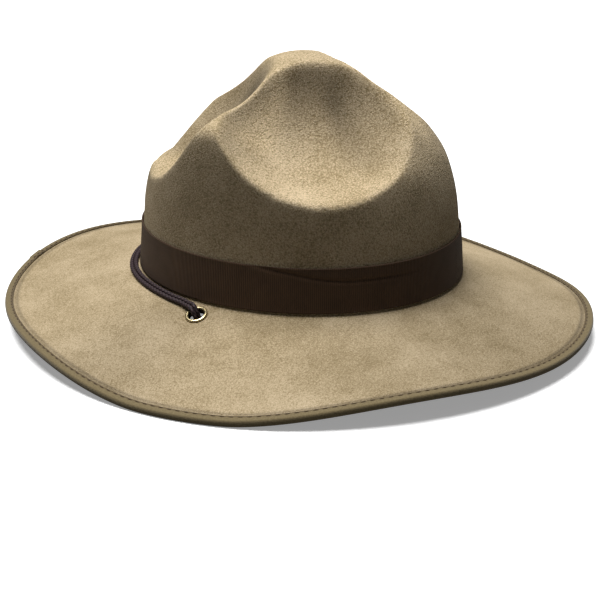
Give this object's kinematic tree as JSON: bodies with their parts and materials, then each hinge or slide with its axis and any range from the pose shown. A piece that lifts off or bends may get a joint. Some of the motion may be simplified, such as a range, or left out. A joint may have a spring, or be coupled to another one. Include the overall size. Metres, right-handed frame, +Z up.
{
  "type": "wide-brim hat",
  "caption": "Felt hat with a wide bound brim, a peaked crown pinched into dents, a ribbon band, brass eyelets and a flat chin cord.",
  "frame": {"origin": "on the surface that the brim rests on, under the middle of the hat's box", "axes": "+Z up through the crown, front of the hat at -Y, the wearer's left at +X"},
  "size_m": [0.3434, 0.3755, 0.1708],
  "materials": {
    "felt": "soft napped fur felt",
    "binding": "flat woven strip with brown stitches",
    "ribbon": "dark brown ribbed ribbon with a low sheen",
    "cord": "two braided strands side by side",
    "brass": "pale, lightly polished"
  },
  "bodies": {
    "root": {"felt_body": "felt", "hat_band": "ribbon", "brim_binding": "binding", "eyelet_right": "brass", "eyelet_left": "brass", "chin_cord": "cord"}
  },
  "joints": []
}
